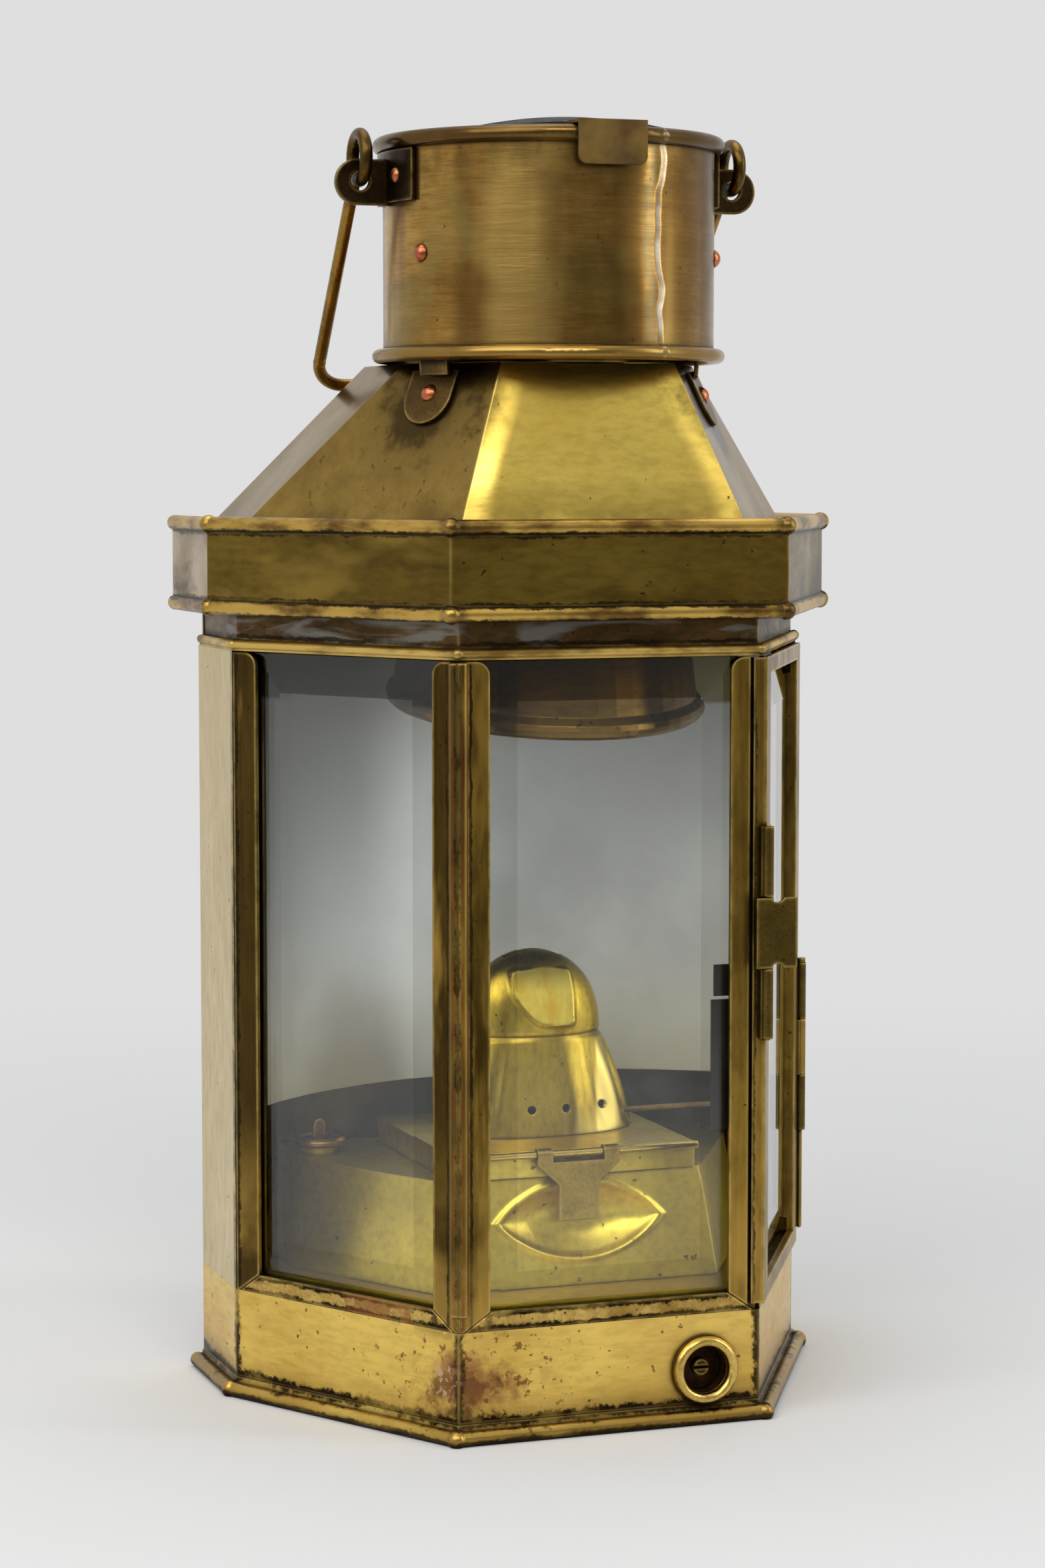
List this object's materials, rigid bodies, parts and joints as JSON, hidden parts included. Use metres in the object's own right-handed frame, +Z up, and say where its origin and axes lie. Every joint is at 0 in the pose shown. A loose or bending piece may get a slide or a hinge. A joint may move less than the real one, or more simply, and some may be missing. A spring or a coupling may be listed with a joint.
{
  "type": "bulkhead oil lamp",
  "caption": "Half-hexagonal brass bulkhead lamp with bevelled panes, deep brim, pyramid roof, round chimney with hinged cover, bail handle, glazed door and oil burner.",
  "frame": {"origin": "middle of the case's width and depth, on the floor it stands on", "axes": "+Z up the lamp, +Y from the front pane to the wall behind it, +X to the lamp's right as seen from the front"},
  "size_m": [0.1976, 0.1282, 0.3708],
  "materials": {
    "brass_case": "antique, satin",
    "brass_base": "worn, satin",
    "brass_trim": "rubbed bright",
    "copper": "rubbed",
    "glass": "clear, bevelled",
    "soot": "matt",
    "tin": "dull",
    "cotton": "woven"
  },
  "bodies": {
    "lamp_case": {"base_pan": "brass_base", "base_panels": "brass_base", "inner_floor": "brass_case", "sill_rails": "brass_trim", "sill_ledge": "brass_case", "ferrule": "brass_trim", "ferrule_plug": "copper", "back_sheet": "brass_case", "wall_socket": "brass_case", "socket_rivets": "copper", "side_sheet_left": "brass_case", "side_sheet_right": "brass_case", "corner_post": "brass_base", "left_post": "brass_base", "door_post": "brass_base", "hinge_post": "brass_base", "glass_left": "glass", "glass_front": "glass", "glass_clips": "tin", "frieze": "brass_case", "brim": "brass_case", "roof": "brass_case", "roof_straps": "brass_case", "strap_rivets": "copper", "chimney": "brass_case", "flue_collar": "brass_case", "flue": "brass_case", "ear_left": "brass_case", "ear_right": "brass_case", "ear_rivets": "copper", "cover_hinge": "brass_case", "reflector": "tin", "reflector_channels": "brass_case", "font": "brass_base", "font_hinge": "brass_case", "door_hinge_leaf": "copper", "door_hinge_pin": "brass_case"},
    "bail_handle": {"bail": "brass_base"},
    "cover": {"chimney_cover": "soot"},
    "cap": {"filler_cap": "brass_case"},
    "burner": {"burner_lid": "brass_base", "lid_rod": "brass_trim", "dome": "brass_trim", "wick_tube": "brass_case"},
    "wick_strip": {"wick": "cotton"},
    "spindle": {"wick_spindle": "brass_case"},
    "tongue": {"hasp_tongue": "brass_base"},
    "door": {"door_frame": "brass_base", "door_glass": "glass", "latch_barrel": "brass_trim", "latch_pin": "copper"},
    "latch": {"latch_thumb": "brass_trim"}
  },
  "joints": [
    {"name": "bail_swing", "type": "hinge", "parent": "lamp_case", "child": "bail_handle", "pos_m": [0, -0.00227, 0.3594], "axis": [1, 0, 0], "range_deg": [0, 279]},
    {"name": "cover_lift", "type": "hinge", "parent": "lamp_case", "child": "cover", "pos_m": [0, 0.04023, 0.3579], "axis": [-1, 0, 0], "range_deg": [0, 70]},
    {"name": "cap_turn", "type": "hinge", "parent": "lamp_case", "child": "cap", "pos_m": [-0.0589, 0.03563, 0.07105], "axis": [0, 0, 1], "continuous": true},
    {"name": "burner_tilt", "type": "hinge", "parent": "lamp_case", "child": "burner", "pos_m": [0, 0.04748, 0.0701], "axis": [-1, 0, 0], "range_deg": [0, 25]},
    {"name": "wick_raise", "type": "slide", "parent": "burner", "child": "wick_strip", "axis": [0, 0, 1], "range_m": [-0.0084, 0.0084]},
    {"name": "wick_turn", "type": "hinge", "parent": "burner", "child": "spindle", "pos_m": [0, 0.00773, 0.08025], "axis": [1, 0, 0], "range_deg": [-180, 180]},
    {"name": "tongue_lift", "type": "hinge", "parent": "burner", "child": "tongue", "pos_m": [0, -0.02642, 0.075], "axis": [-1, 0, 0], "range_deg": [0, 160]},
    {"name": "door_swing", "type": "hinge", "parent": "lamp_case", "child": "door", "pos_m": [0.09137, 0.02097, 0.094], "axis": [0, 0, 1], "range_deg": [0, 110]},
    {"name": "latch_turn", "type": "hinge", "parent": "door", "child": "latch", "pos_m": [0.0464, -0.05707, 0.1405], "axis": [0, 0, 1], "range_deg": [-35, 60]}
  ],
  "couplings": [
    {"joint": "wick_turn", "follows": "wick_raise", "rad_per_m": 370.37}
  ]
}
